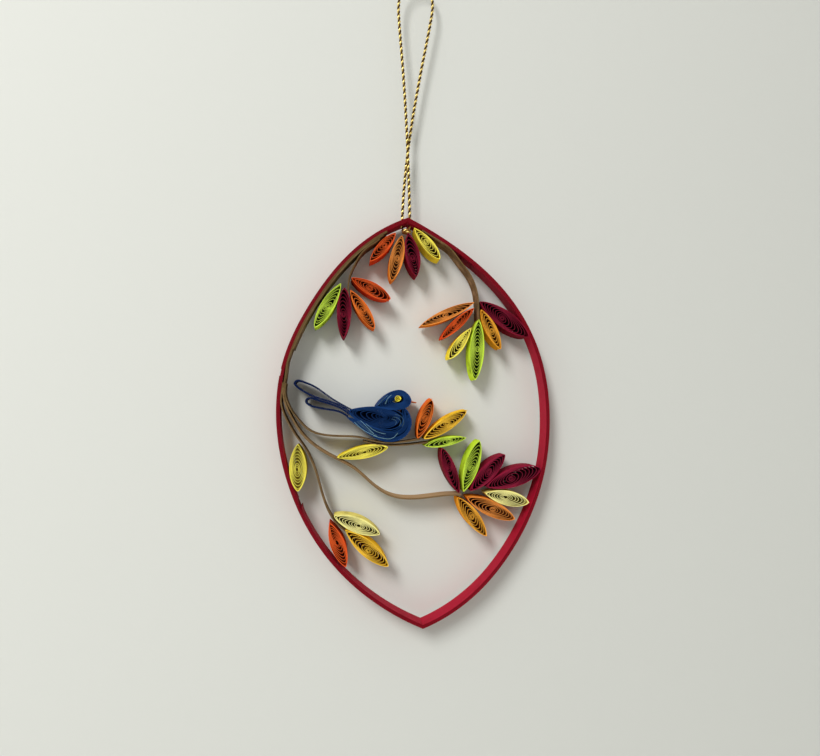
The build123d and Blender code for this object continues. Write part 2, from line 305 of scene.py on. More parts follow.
def stripWall(front, back, thick, depths, closed, tone, shine=1.0):
    # A strip of paper on edge. Its middle line is given at the front edge and at the back edge, as (n, 2)
    # points (x, z). At each point the section is a box, as thick as the paper and from the front depth to
    # the back depth, with its four long edges taken off: eight corners, square to the line.
    frontLeft, backLeft = leftOf(front, closed), leftOf(back, closed)
    half = thick / 2
    cut = bevelShare * half
    near, far = depths
    corners, rims = [], []
    for sideways, y, line, left, isEdge in (
        (half, near + cut, front, frontLeft, 0.0), (half - cut, near, front, frontLeft, 1.0),
        (cut - half, near, front, frontLeft, 1.0), (-half, near + cut, front, frontLeft, 0.0),
        (-half, far - cut, back, backLeft, 0.0), (cut - half, far, back, backLeft, 1.0),
        (half - cut, far, back, backLeft, 1.0), (half, far - cut, back, backLeft, 0.0),
    ):
        flat = line + left * sideways
        corners.append(np.stack([flat[:, 0], y * np.ones(len(line)), flat[:, 1]], 1))
        rims.append(np.full(len(line), isEdge * shine))
    return {"grid": np.stack(corners, 1), "closed": closed, "rim": np.stack(rims, 1),
            "tone": np.asarray(tone)[..., None] * np.ones((len(front), 8))}


def roundTube(line, radius, sides, closed, shadedPly, along):
    # a round section of the given radius carried along (n, 3) points, square to them
    run = unit(runOf(line, closed))
    first = unit(np.cross(run, (0.0, 1.0, 0.001)))
    second = np.cross(run, first)
    turn = np.linspace(0, 2 * np.pi, sides, endpoint=False)[None, :, None]
    grid = line[:, None] + (first[:, None] * np.cos(turn) + second[:, None] * np.sin(turn)) * radius
    flat = np.zeros(grid.shape[:2])
    return {"grid": grid, "closed": closed, "rim": flat + shadedPly, "tone": flat + along[:, None]}


def makePiece(name, parts, material, replaced, toneName="tone"):
    # Each part is a grid of points, rings of m along n stations: quads between rings, and a flat cap on
    # each end that stays open. A part whose enclosed volume comes out negative has its faces turned.
    points, faces, rims, paintedLight = [], [], [], []
    offset = 0
    for part in parts:
        grid = part["grid"]
        n, m = grid.shape[:2]
        i = np.arange(n if part["closed"] else n - 1)[:, None]
        j = np.arange(m)[None, :]
        iNext, jNext = (i + 1) % n, (j + 1) % m
        quads = np.stack([i * m + j, iNext * m + j, iNext * m + jNext, i * m + jNext], -1)
        quads = quads.reshape(-1, 4)
        if not part["closed"]:
            k = np.arange(m // 2 - 1)
            cap = np.stack([k, k + 1, m - 2 - k, m - 1 - k], 1)
            quads = np.vstack([quads, cap, (n - 1) * m + cap[:, ::-1]])
        flat = grid.reshape(-1, 3)
        a, b, c, d = (flat[quads[:, corner]] for corner in range(4))
        volume = (a * np.cross(b, c)).sum() + (a * np.cross(c, d)).sum()
        faces.append(offset + (quads if volume > 0 else quads[:, ::-1]))
        points.append(flat)
        rims.append(part["rim"].reshape(-1))
        paintedLight.append(part["tone"].reshape(-1))
        offset += n * m
    points, faces = np.vstack(points) * mm, np.vstack(faces)
    mesh = bpy.data.meshes.new(name)
    mesh.vertices.add(len(points))
    mesh.vertices.foreach_set("co", points.astype(np.float32).ravel())
    mesh.loops.add(4 * len(faces))
    mesh.loops.foreach_set("vertex_index", faces.astype(np.int32).ravel())
    mesh.polygons.add(len(faces))
    mesh.polygons.foreach_set("loop_start", np.arange(0, 4 * len(faces), 4, dtype=np.int32))
    mesh.update(calc_edges=True)
    for label, values in (("rim", rims), (toneName, paintedLight)):
        mesh.attributes.new(label, "FLOAT", "POINT").data.foreach_set(
            "value", np.concatenate(values).astype(np.float32))
    mesh.polygons.foreach_set("use_smooth", np.ones(len(faces), bool))
    mesh.set_sharp_from_angle(angle=math.radians(sharpAngle))
    mesh.materials.append(material)
    piece = bpy.data.objects.new(name, mesh)
    bpy.context.scene.collection.objects.link(piece)
    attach(piece, "root")
    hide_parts(*replaced)
    return piece


# Shapes read from the CAD nodes

def nodePoints(node):
    # the corners of a CAD node's mesh, in mm
    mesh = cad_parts[node].data
    flat = np.empty(3 * len(mesh.vertices))
    mesh.vertices.foreach_get("co", flat)
    return flat.reshape(-1, 3) / mm


def outlineOf(node):
    # The longest loop of a CAD node's outline, as (x, z) points. A triangle of its side walls with two
    # corners on the front face gives one step of that face's rim, and the steps are followed round.
    points = nodePoints(node)
    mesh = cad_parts[node].data
    corners = np.empty(len(mesh.loops), int)
    mesh.loops.foreach_get("vertex_index", corners)
    corners = corners.reshape(-1, 3)
    onFront = points[:, 1] < 0.01 - stripHalf    # within 0.01 mm of it
    spots, place = np.unique(np.round(points[:, (0, 2)], 3), axis=0, return_inverse=True)
    place = place.ravel()
    starts = corners[onFront[corners].sum(1) == 2]
    ends = np.roll(starts, -1, 1)
    steps = onFront[starts] & onFront[ends]
    following = dict(zip(place[starts[steps]].tolist(), place[ends[steps]].tolist()))
    loops = []
    while following:
        first, here = following.popitem()
        loop = [first]
        while here != first and here in following:
            loop.append(here)
            here = following.pop(here)
        loops.append(spots[loop])
    return max(loops, key=lambda loop: np.ptp(loop[:, 1]))


def middleOf(node):
    # the middle line of a strip: its two ends are the shortest steps of its outline
    loop = outlineOf(node)
    step = np.linalg.norm(np.roll(loop, -1, 0) - loop, axis=1)
    one, two = sorted(np.argsort(step)[:2])
    left = loop[one + 1:two + 1]
    right = np.roll(loop, -(two + 1), 0)[:len(loop) - len(left)][::-1]
    count = min(len(left), len(right))
    return (left[:count] + right[:count]) / 2


# Hoop: nested layers of one long strip, glued, with slightly uneven edges

hoopLook = {
    "layers": 6,
    "thick": 0.132,       # mm, just under the pitch of 0.14, so that the layers read as separate
    "read": 1600,         # points read along each side of the outline
    "stations": 300,      # along each side of a layer
    "uneven": 0.07,       # mm, how far a layer's edge swings back from the front
    "least": 0.01,        # mm, how far every edge lies back
    "rates": (2, 3, 5, 9, 14),    # swings once round
    "toneSwing": 0.3,     # how far the tone swings with them
    # mm, where the outermost and the innermost layer are cut off, and how far the end there lifts
    "cuts": {0: ((-31.0, 10.8), 0.0), 5: ((-26.6, -18.6), 0.30)},
    "liftRun": 2.0,       # mm of the strip's length that lifts
    "seed": 11,
}


def sideOf(loop, start, end):
    # the stretch of a closed loop from one of its points to another
    return np.roll(loop, -start, 0)[:(end - start) % len(loop) + 1]


def mitreOf(one, two):
    # the tangent of half the angle between two directions
    return abs(math.tan(math.acos(np.clip(unit(one) @ unit(two), -1, 1)) / 2))


def makeHoop(look):
    # Each layer is both sides of the hoop's outer outline moved inwards, between the two mitred corners:
    # a layer at depth d starts d times the mitre's tangent along each side.
    loop = outlineOf("hoop")
    top, foot = int(np.argmax(loop[:, 1])), int(np.argmin(loop[:, 1]))
    sides = [smoothLine(sideOf(loop, *ends), look["read"]) for ends in ((top, foot), (foot, top))]
    inwards = 1.0 if np.cross(loop, np.roll(loop, -1, 0)).sum() > 0 else -1.0
    random = np.random.default_rng(look["seed"])
    parts = []
    for layer in range(look["layers"]):
        depth = (layer + 0.5) * paperThick
        halves = []
        for side, other in (sides, sides[::-1]):
            starts = depth * mitreOf(side[1] - side[0], other[-1] - other[-2])
            stops = depth * mitreOf(side[-1] - side[-2], other[1] - other[0])
            lengths = lengthsOf(side)
            places = np.linspace(starts, lengths[-1] - stops, look["stations"])
            halves.append(readAt(places, lengths, offsetLine(side, inwards * depth))[:-1])
        line = np.vstack(halves)
        around = np.linspace(0, 2 * np.pi, len(line), endpoint=False)
        swing = swingOf(random, around, look["rates"])
        back = look["uneven"] * (0.5 + 0.5 * swing) + look["least"]
        tone = random.uniform(-1, 1) + look["toneSwing"] * swing
        if layer in look["cuts"]:
            # the strip starts two stations past the cut and stops just short of it
            cutAt, lift = look["cuts"][layer]
            nearest = int(np.argmin(np.linalg.norm(line - cutAt, axis=1)))
            line, back, tone = (np.roll(row, -nearest - 2, 0)[:-3] for row in (line, back, tone))
            toEnd = np.arange(len(line))[::-1] * np.linalg.norm(line[1] - line[0])
            rise = np.clip(1 - toEnd / look["liftRun"], 0, 1) ** 2 * lift
            line = offsetLine(line, inwards * rise[:, None])
        parts.append(stripWall(line, line, look["thick"], (back - stripHalf, stripHalf - back),
                               layer not in look["cuts"], tone))
    makePiece("hoop_layers", parts, hoopMaterial, ["hoop"])


makeHoop(hoopLook)
print("hoop made")


# Twigs: strips folded double, so two layers side by side

# mm, where the leaves of each spray come together
hubs = {
    "crown": (-1.955, 46.3), "left": (-15.7, 30.0), "right": (14.8, 24.3), "perch": (-0.1, -4.4),
    "fan": (9.4, -17.2), "low": (-16.6, -24.4),
    "single_yellow": (-26.9, -5.1), "single_gold": (-18.0, -8.4),
}
# for every folded strip
folded = {
    "thick": 0.125,       # mm, one layer
    "near": 3.5,          # mm, an end this near one of its goals goes on straight, in among the leaves
    "fewest": 12,         # stations
    "least": 0.01,        # mm, how far every edge lies back from the front
    "rates": (1, 2, 4, 7),
    "swings": 3.0,        # radians that the slowest swing goes through from end to end
    "toneRun": (0.3, 0.8),   # shares of the length between which the tone goes over
    "tone": (0.8, 0.8),   # the tone before and after, where a strip has none of its own
    "toneDrawn": 0.5,     # how far a layer's tone may lie off that
}
twigLook = {
    "layers": 2,
    "extra": {"stem_main": 1},                # further layers
    "perMm": 3.0,                             # stations
    "uneven": 0.12,                           # mm, how far an edge swings back
    "seed": 23,
    "reach": 1.1,                             # mm, how far an end beside a goal goes on
    "goals": list(hubs.values()),
    # painted light and shade along stem_main: the deep colour at its upper left end, where its underside
    # shows, going over to the pale body towards the fan spray, where its lit top wall shows
    "paintedLight": {"stem_main": (1.1, -1.2)},      # paler towards the fan spray
}


def makeFolded(node, look, material):
    # the layers run side by side along the middle of the CAD strip, each with its own edge
    middle = middleOf(node)
    for end, beside in ((0, 1), (-1, -2)):
        if any(np.linalg.norm(middle[end] - goal) < folded["near"] for goal in look["goals"]):
            middle[end] += unit(middle[end] - middle[beside]) * look["reach"]
    line = smoothLine(middle, max(folded["fewest"], int(lengthsOf(middle)[-1] * look["perMm"])))
    share = np.linspace(0, 1, len(line))
    # on stem_main this tone along the strip is painted light and shade
    toneRun = np.interp(share, folded["toneRun"], look.get("paintedLight", {}).get(node, folded["tone"]))
    random = np.random.default_rng(look["seed"] + len(node) + int(abs(middle[0, 0]) * 10))
    parts = []
    layers = look["layers"] + look.get("extra", {}).get(node, 0)
    for layer in range(layers):
        swing = swingOf(random, share * folded["swings"], folded["rates"])
        back = look["uneven"] * (0.5 + 0.5 * swing) + folded["least"]
        tone = folded["toneDrawn"] * random.uniform(-1, 1) + toneRun
        run = offsetLine(line, (layer - (layers - 1) / 2) * paperThick)
        parts.append(stripWall(run, run, folded["thick"], (back - stripHalf, stripHalf - back), False, tone))
    makePiece(node + "_paper", parts, material, [node])


for twig in ("stem_main", "stem_lining", "stem_low", "stem_bird", "stem_bird_lower", "stem_right",
             "stem_upper_left"):
    makeFolded(twig, twigLook, twigMaterial)
print("twigs made")


# Coils: one strip wound up, let loose and pressed into shape

# places in a coil are counted in turns from the strip's outer end
coil = {
    "perTurn": 56,        # stations
    "settle": 1.3,        # turns in which the ends' pinch fades inwards
    "gap": 0.012,         # mm, between packed turns
    "packFrom": 0.9,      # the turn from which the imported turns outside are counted
    "leanFrom": 0.6,      # the turn at which the lean and the sunken edges begin
    "leanTurns": 0.8,     # turns until the lean is full
    "sinkTurns": 2.0,     # turns until the edges lie back fully
    "sinkLeast": 0.1,     # the share of it that the outermost turn has
    "least": 0.012,       # mm, how far every edge lies back from the front
    # the inside's tone is painted shade of the folds: it darkens the inner turns towards the deep colour
    "innerShadeFrom": 1.1,    # the turn at which the tone of the inside begins
    "innerShadeTurns": 0.8,   # turns until it is full
    "outerTone": -0.6,    # the tone of the outer wall
    "toneDrawn": 0.3,     # how far the tone may lie off
}


def bulgeOf(s, far, near):
    # (1 - s)^far (1 + s)^near, over its own peak
    peak = (near - far) / (near + far)
    most = (1 - peak) ** far * (1 + peak) ** near
    return np.clip(1 - s, 0, None) ** far * np.clip(1 + s, 0, None) ** near / most


def coilLine(u, axis, up, down, sizes, ends, eye, skew, twist, pitch, wobble):
    # The strip swings along the axis as s = cos(2 pi u) over turns u. Over each place it stands as high
    # as the bulge there: power 1 pinches an end, 0.5 rounds it, and both powers drift to 0.5 towards the
    # heart. The first turn closes on itself. The turns' lengths and widths, as shares of the first
    # turn's, follow the sizes, (turn, length, width), and the heart lies off the middle by the eye's
    # shares.
    s = np.cos(2 * np.pi * u)
    soft = np.exp(-np.clip(u - 0.5, 0, None) / coil["settle"])
    bulge = bulgeOf(s, 0.5 + (ends[0] - 0.5) * soft, 0.5 + (ends[1] - 0.5) * soft)
    run = lengthsOf(axis)[-1]
    ease = np.clip(2 * u - 1, 0, 1)
    ease = ease * ease * (3 - 2 * ease)
    long = 1 - (1 - np.interp(u, sizes[:, 0], sizes[:, 1])) * ease
    wide = 1 - (1 - np.interp(u, sizes[:, 0], sizes[:, 2])) * ease
    # the inner turns are turned about the heart, the more the shorter they are
    along = (long * s + eye[0] * (1 - long) - eye[0]) * run / 2 + wobble
    height = np.where(np.sin(2 * np.pi * u) >= 0, up, -down) * bulge * wide
    lift = eye[1] * (1 - wide) * (up + down) / 2
    turn = math.radians(twist) * (1 - long)
    along, height = (along * np.cos(turn) - height * np.sin(turn),
                     along * np.sin(turn) + height * np.cos(turn) + lift)
    along = along + skew * height * (1 - long) + eye[0] * run / 2
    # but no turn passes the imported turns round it
    room = bulgeOf(np.clip(along * 2 / run, -1, 1), ends[0], ends[1])
    packed = pitch * np.clip(u - coil["packFrom"], 0, None)
    height = np.where(u > 1, np.clip(height, np.minimum(packed - down * room, 0),
                                     np.maximum(up * room - packed, 0)), height)
    share = 0.5 + along / run
    places = np.linspace(0, 1, len(axis))
    return readAt(share, places, axis) + readAt(share, places, leftOf(axis)) * height[:, None]


def coilParts(axis, up, down, sizes, ends, eye, seed, skew=0.0, twist=0.0, lean=0.0, uneven=0.16,
              thick=0.12, loose=0.1, innerShade=1.9):
    # At every half turn the strip has a random depth, up to uneven mm back, a random tone, and a random
    # shift of up to loose mm. Inside the coil the tone is raised by the inner shade amount: painted shade
    # of the folds, which turns the inner turns towards the deep colour. The coil leans: its inner turns
    # lie further along the axis at the back than at the front.
    sizes = np.array(sizes)
    u = np.linspace(0, sizes[-1, 0], int(sizes[-1, 0] * coil["perTurn"]) + 1)
    random = np.random.default_rng(seed)
    halfTurns = np.arange(0, math.ceil(sizes[-1, 0]) * 2 + 2) / 2
    sink, tone, shift = (np.interp(u, halfTurns, random.uniform(low, 1, len(halfTurns)))
                         for low in (0, -1, -1))
    line = coilLine(u, axis, up, down, sizes, ends, eye, skew, twist, thick + coil["gap"],
                    loose * shift * np.clip(u - 1, 0, 1))
    leaning = np.clip((u - coil["leanFrom"]) / coil["leanTurns"], 0, 1) * lean / 2
    aside = unit(axis[-1] - axis[0]) * leaning[:, None]
    sinkShare = np.clip((u - coil["leanFrom"]) / coil["sinkTurns"], coil["sinkLeast"], 1)
    back = coil["least"] + uneven * sink * sinkShare
    # painted shade: inside the coil the tone goes up, so the inner turns go over to the deep colour
    inside = np.clip((u - coil["innerShadeFrom"]) / coil["innerShadeTurns"], 0, 1)
    tone = coil["toneDrawn"] * tone + coil["outerTone"] + innerShade * inside
    depths = (back - stripHalf, stripHalf - back[::-1])
    return [stripWall(line - aside, line + aside, thick, depths, False, tone)]


# Leaves

leafLook = {
    # Plain leaves are wound tight round a small heart, the fine ones in looser turns round an open eye.
    # In mm: the step between two turns' tips along the leaf, the pitch of the turns on the flanks, half
    # the length and width of the turn round the heart, how many turns lie inside it, half the length and
    # width of the eye, and the paper.
    "plain": {"step": 0.84, "packed": 0.132, "heart": (0.80, 0.50), "scroll": 2.2,
              "eye": (0.15, 0.14), "thick": 0.12},
    "fine": {"step": 0.70, "packed": 0.155, "heart": (1.25, 0.58), "scroll": 2.0,
             "eye": (0.42, 0.26), "thick": 0.145},
    "stations": 40,           # along the axis
    "tipGap": 0.20,           # mm, from the tip of the CAD leaf to the strip's middle
    "inside": 0.01,           # mm, how far the coil's flanks lie inside the CAD leaf's
    "second": (0.08, 0.14),   # mm, by which the second turn's half length and half width are less
    "block": (1.2, 0.5),      # mm a slit's far end lies along the leaf, as seen from the front, and the
                              # share of what it lies across the leaf that is taken off
    # drawn for each leaf: the heart's place along it, the twist in degrees, the powers of both ends, the
    # heart's place across it, and the skew
    "drawn": {"heart": (-0.2, 0.2), "twist": (8, 17), "base": (0.70, 0.92), "tip": (0.80, 1.0),
              "lift": (-0.12, 0.12), "skew": (-0.3, 0.3)},
    "seed": 100,
}
# the sheet that each leaf is cut from, where it isn't the one its name gives
sheets = {
    "crown_red": "scarlet", "left_red": "scarlet", "right_red": "scarlet", "low_red": "scarlet",
    "right_orange": "tangerine", "fan_amber": "tangerine", "fan_orange": "amber", "perch_amber": "sun",
    "fan_claret": "wine", "single_gold": "yellow", "low_yellow": "cream", "low_amber": "sun",
    "left_scarlet": "orange", "crown_amber": "tangerine",
}
# the leaves that are wound the fine way
fineLeaves = {"single_yellow", "single_gold", "low_yellow", "fan_cream", "right_yellow", "low_red"}
# how far the heart lies towards the tip, as a share of half the length, and the twist in degrees, where
# they aren't drawn
leafHearts = {
    "single_yellow": (0.02, 7), "single_gold": (0.0, 9), "low_yellow": (0.08, 8), "fan_cream": (-0.1, 10),
    "fan_amber": (0.12, 15), "fan_orange": (0.0, 12), "fan_lime": (-0.05, 17), "left_lime": (0.1, 16),
    "right_lime": (0.0, 6), "crown_amber": (0.0, 9), "left_maroon": (0.1, 15), "right_maroon": (-0.1, 18),
    "fan_wine": (0.05, 16), "fan_claret": (-0.1, 18),
}
# mm, where a slit's far end lies along the leaf, where it isn't the nearest place that closes the slit
leafSlants = {"perch_orange": -1.0, "left_red": 0.9, "perch_amber": -0.55}
# mm, about where the camera stands, from which no slit is to be seen through
eyeSpot = np.array(camera["target"]) + camera["distance"] * np.array([
    math.sin(math.radians(camera["azimuth"])), -1.0, math.sin(math.radians(camera["elevation"]))])


def leafTips(node):
    # the leaf's two tips, inner one first, and its width: the ends of its mesh along its longest direction
    flat = nodePoints(node)[:, (0, 2)]
    middle = flat.mean(0)
    along = (flat - middle) @ np.linalg.svd(flat - middle, full_matrices=False)[2][0]
    tips = flat[[int(np.argmin(along)), int(np.argmax(along))]]
    axis = unit(tips[1] - tips[0])
    width = np.ptp((flat - middle) @ np.array([-axis[1], axis[0]]))
    words = node.split("_")
    hub = hubs.get("_".join(words[1:]), hubs.get(words[1]))
    if np.linalg.norm(tips[1] - hub) < np.linalg.norm(tips[0] - hub):
        tips = tips[::-1]
    return tips[0], tips[1], width


def leanOf(name, middle, ahead, block):
    # How far the heart leans along the leaf from front to back, and which way the inner turns twist, so
    # that no slit is seen straight through. From the eye, the back of the strip seems moved by the drift.
    drift = (middle - eyeSpot[[0, 2]]) * 2 * stripHalf / camera["distance"]
    along, across = drift @ ahead, drift @ (-ahead[1], ahead[0])
    need = min(block[0], max(abs(along), block[0] - block[1] * abs(across)))
    slant = leafSlants.get(name, math.copysign(need, along))
    return along - slant, -math.copysign(1, slant * across)


def makeLeaf(node, seed, look):
    # One coil from tip to tip. Its turns step evenly from the outer wall to the turn round the heart:
    # along the leaf by about the given step, and on the flanks as they lie packed.
    base, tip, width = leafTips(node)
    ahead = unit(tip - base)
    axis = np.linspace(base + ahead * look["tipGap"], tip - ahead * look["tipGap"], look["stations"])
    halfLong = np.linalg.norm(axis[-1] - axis[0]) / 2
    halfWide = width / 2 - paperThick / 2 - look["inside"]
    name = node[len("leaf_"):]
    colour = name.split("_")[-1]
    wound = look["fine" if name in fineLeaves else "plain"]
    heartLong, heartWide = wound["heart"]
    around = min((halfLong - heartLong) / wound["step"], (halfWide - heartWide) / wound["packed"])
    step = (halfLong - heartLong) / around
    sizes = [(0.0, 1.0, 1.0),
             (1.0, 1 - look["second"][0] / halfLong, 1 - look["second"][1] / halfWide),
             (around - 1, (heartLong + 2 * step) / halfLong,
              1 - (around - 1) * wound["packed"] / halfWide),
             (around + 1, heartLong / halfLong, heartWide / halfWide),
             (around + 1 + wound["scroll"], wound["eye"][0] / halfLong, wound["eye"][1] / halfWide)]
    random = np.random.default_rng(seed)
    drawn = {key: random.uniform(*span) for key, span in look["drawn"].items()}
    heart, twist = leafHearts.get(name, (drawn["heart"], drawn["twist"]))
    lean, way = leanOf(name, (tip + base) / 2, ahead, look["block"])
    parts = coilParts(axis, halfWide, halfWide, sizes, (drawn["base"], drawn["tip"]),
                      (heart, drawn["lift"]), seed, skew=drawn["skew"], twist=twist * way, lean=lean,
                      thick=wound["thick"])
    makePiece(node + "_coil", parts, paperMaterials[sheets.get(name, colour)], [node])


leafNodes = sorted(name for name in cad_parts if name.startswith("leaf_"))
for number, node in enumerate(leafNodes):
    makeLeaf(node, leafLook["seed"] + number, leafLook)
print("leaves made:", len(leafNodes))


# Bird: three coils, an eye, a beak and two looped tail feathers, placed from the foot of its belly

# up and down are how many mm a coil reaches to the left and to the right of its line
# in each wound set, the inner shade amount darkens the coil's inner turns as painted shade
bird = {
    "foot": (-6.509, -4.890),     # mm, and all other points are given from there
    "belly": {
        "line": [(3.65, 7.70), (4.45, 5.50), (4.25, 3.30), (2.50, 1.55), (-0.40, 1.13),
                 (-3.35, 2.15), (-6.20, 3.85), (-9.40, 5.70)],
        "stations": 160,
        "wound": {
            "up": 1.04, "down": 1.40, "ends": (0.8, 0.5), "eye": (0.0, 0.0), "seed": 51,
            "sizes": [(0, 1, 1), (1, 0.975, 0.86), (3, 0.94, 0.60), (6.3, 0.70, 0.05)],
            "thick": 0.12, "lean": 0.3, "innerShade": 1.0,
        },
    },
    "wing": {
        "line": [(3.70, 5.30), (-8.70, 7.00)],
        "stations": 60,
        "wound": {
            "up": 3.12, "down": 1.96, "ends": (0.8, 0.5), "eye": (-0.36, 0.10), "seed": 52,
            "sizes": [(0, 1, 1), (1, 0.975, 0.95), (6, 0.76, 0.60), (9.5, 0.24, 0.28), (12, 0.03, 0.06)],
            "thick": 0.14, "lean": -1.7, "loose": 0.05, "innerShade": 1.5,
        },
    },
    "head": {
        "line": [(5.17, 9.38), (-2.85, 8.11)],
        "stations": 60,
        "wound": {
            "up": 1.50, "down": 2.95, "ends": (1.0, 0.5), "eye": (-0.376, -0.545), "seed": 53,
            "sizes": [(0, 1, 1), (1, 0.96, 0.93), (9, 0.27, 0.43)],
            "thick": 0.16, "lean": 0.7, "uneven": 0.08, "loose": 0.03, "innerShade": 0.8,
        },
    },
    "eye": {
        "line": [(1.61, 10.0516), (2.97, 9.8884)],
        "stations": 20,
        "wound": {
            "up": 0.58, "down": 0.72, "ends": (0.75, 0.6), "eye": (0.45, -0.2), "seed": 54,
            "sizes": [(0, 1, 1), (1, 0.78, 0.76), (2.7, 0.22, 0.22)],
            "uneven": 0.05, "loose": 0.2, "innerShade": 0.7,
        },
    },
    # painted highlights on edges that catch the light: how thick in mm, how bright, and their points
    "glints": [
        (0.09, 1.0, [(-0.65, 8.70), (-0.17, 9.84), (0.77, 10.78)]),
        (0.08, 0.5, [(-2.31, 8.48), (-1.25, 9.66), (-0.13, 10.66)]),
        (0.09, 1.0, [(-7.72, 4.60), (-6.43, 3.34), (-4.42, 2.08), (-2.55, 1.33)]),
        (0.09, 0.9, [(-6.32, 4.93), (-5.38, 3.99), (-4.24, 2.84), (-3.28, 1.90)]),
        (0.09, 0.9, [(-3.47, 1.51), (-1.58, 0.94), (1.25, 1.04), (2.20, 2.10)]),
        (0.09, 0.8, [(-5.10, 4.30), (-3.90, 3.20), (-2.40, 2.30), (-0.60, 1.85)]),
        (0.06, 0.5, [(-7.10, 4.75), (-6.10, 3.80), (-5.00, 2.90), (-3.90, 2.15), (-2.60, 1.60)]),
        (0.06, 0.3, [(-6.75, 4.85), (-5.75, 3.85), (-4.60, 2.87), (-3.60, 2.10)]),
        (0.07, 0.5, [(1.20, 5.70), (2.30, 5.40), (2.90, 4.60), (2.60, 3.70)]),
        (0.07, 0.4, [(1.60, 6.30), (3.00, 5.80), (3.60, 4.60), (3.20, 3.50)]),
        (0.07, 0.4, [(0.80, 5.20), (1.60, 5.00), (1.90, 4.50), (1.60, 4.00)]),
    ],
    "glintStations": 40,
    "glintDepths": (0.004, 0.6),  # mm, from the front of the bird
}


def onBird(points):
    # points given from the bird's foot
    return np.asarray(points, float) + bird["foot"]


# the feathers go on into the wing's end, and the beak ends where it is
featherLook = {"layers": 3, "perMm": 5.0, "uneven": 0.06, "seed": 61, "reach": 0.7,
               "goals": onBird(bird["wing"]["line"][1:])}
beakLook = {"layers": 2, "perMm": 6.0, "uneven": 0.05, "seed": 71, "goals": []}


def makeBirdCoil(name, material):
    # one coil wound along its line, smoothed
    axis = smoothLine(onBird(bird[name]["line"]), bird[name]["stations"])
    node = "bird_" + name
    makePiece(node + "_coil", coilParts(axis, **bird[name]["wound"]), material, [node])


def makeGlints(look):
    # painted highlights where edges catch the light: short strips between the turns of the head, wing
    # and belly
    depths = [depth - stripHalf for depth in look["glintDepths"]]
    lines = [smoothLine(onBird(points), look["glintStations"]) for thick, shine, points in look["glints"]]
    parts = [stripWall(line, line, thick, depths, False, 0.0, shine)
             for line, (thick, shine, points) in zip(lines, look["glints"])]
    makePiece("bird_glints", parts, glintMaterial, ["bird_belly"])


for name in ("belly", "wing", "head"):
    makeBirdCoil(name, birdMaterial)
makeBirdCoil("eye", eyeMaterial)
makeGlints(bird)
for feather in ("bird_tail_upper", "bird_tail_lower"):
    makeFolded(feather, featherLook, featherMaterial)
makeFolded("bird_beak", beakLook, beakMaterial)
print("bird made")


# Hanging cord: one length whose two ends pass through the top of the hoop

cord = {
    "diameter": 0.75,     # mm
    "plies": 2,
    "plyShare": 0.54,     # a ply's radius, as a share of the cord's
    "sides": 8,           # of a ply
    "lay": 1.6,           # mm for one turn of the plies
    "perLay": 16,         # stations
    "read": 24,           # steps of the spline between two points of the route
    "route": [
        (-1.25, 0.00, 45.238), (-1.27, -0.05, 49.5), (-1.58, -0.45, 58.0), (-1.95, -0.50, 68.0),
        (-2.75, -0.30, 82.0), (-3.75, -0.15, 94.0), (-4.10, -0.05, 100.5), (-2.60, 0.00, 104.9),
        (0.40, 0.05, 106.2), (3.40, 0.05, 104.9), (4.60, 0.10, 100.5), (3.60, 0.20, 94.5),
        (1.35, 0.45, 83.0), (-0.90, 0.55, 70.0), (-2.20, 0.45, 59.5), (-3.03, 0.06, 49.5),
        (-3.05, 0.00, 45.238),
    ],
}
knot = {
    "big": 0.66,          # mm, radius of the round that the curve makes
    "small": 0.27,        # mm, how far it swings from that round
    "thread": 0.32,       # mm, radius of the thread
    "stations": 160,
    "sides": 10,
    "length": 12.0,       # mm of thread
}


def cordLine(look):
    # the smooth line along a NURBS spline with the route's points, read from the curve itself
    curve = bpy.data.curves.new("cordRoute", "CURVE")
    curve.dimensions = "3D"
    curve.resolution_u = look["read"]
    spline = curve.splines.new("NURBS")
    spline.points.add(len(look["route"]) - 1)
    spline.points.foreach_set("co", [c for x, y, z in look["route"] for c in (x * mm, y * mm, z * mm, 1.0)])
    spline.order_u = 3
    spline.use_endpoint_u = True
    holder = bpy.data.objects.new("cordRoute", curve)
    bpy.context.scene.collection.objects.link(holder)
    read = bpy.data.meshes.new_from_object(holder)
    flat = np.empty(3 * len(read.vertices))
    read.vertices.foreach_get("co", flat)
    bpy.data.objects.remove(holder)
    return flat.reshape(-1, 3) / mm


def makeCord(look):
    # a bright ply and a ply painted dark as shade, twisted round the line: each is a tube whose middle
    # circles it once per lay
    sampled = cordLine(look)
    length = lengthsOf(sampled)[-1]
    line = evenly(sampled, int(length / look["lay"] * look["perLay"]))
    along = np.linspace(0, length, len(line))
    run = unit(runOf(line))
    first = unit(np.cross(run, (0.0, 1.0, 0.0)))
    second = np.cross(run, first)
    radius = look["diameter"] / 2
    plyRadius = radius * look["plyShare"]
    parts = []
    for ply in range(look["plies"]):
        angle = 2 * np.pi * (along / look["lay"] + ply / look["plies"])
        outwards = first * np.cos(angle)[:, None] + second * np.sin(angle)[:, None]
        middle = line + outwards * (radius - plyRadius)
        parts.append(roundTube(middle, plyRadius, look["sides"], False, ply, along))
    made = makePiece("gold_cord", parts, goldThread, ["hanging_cord"], "along")
    return made, sampled, length


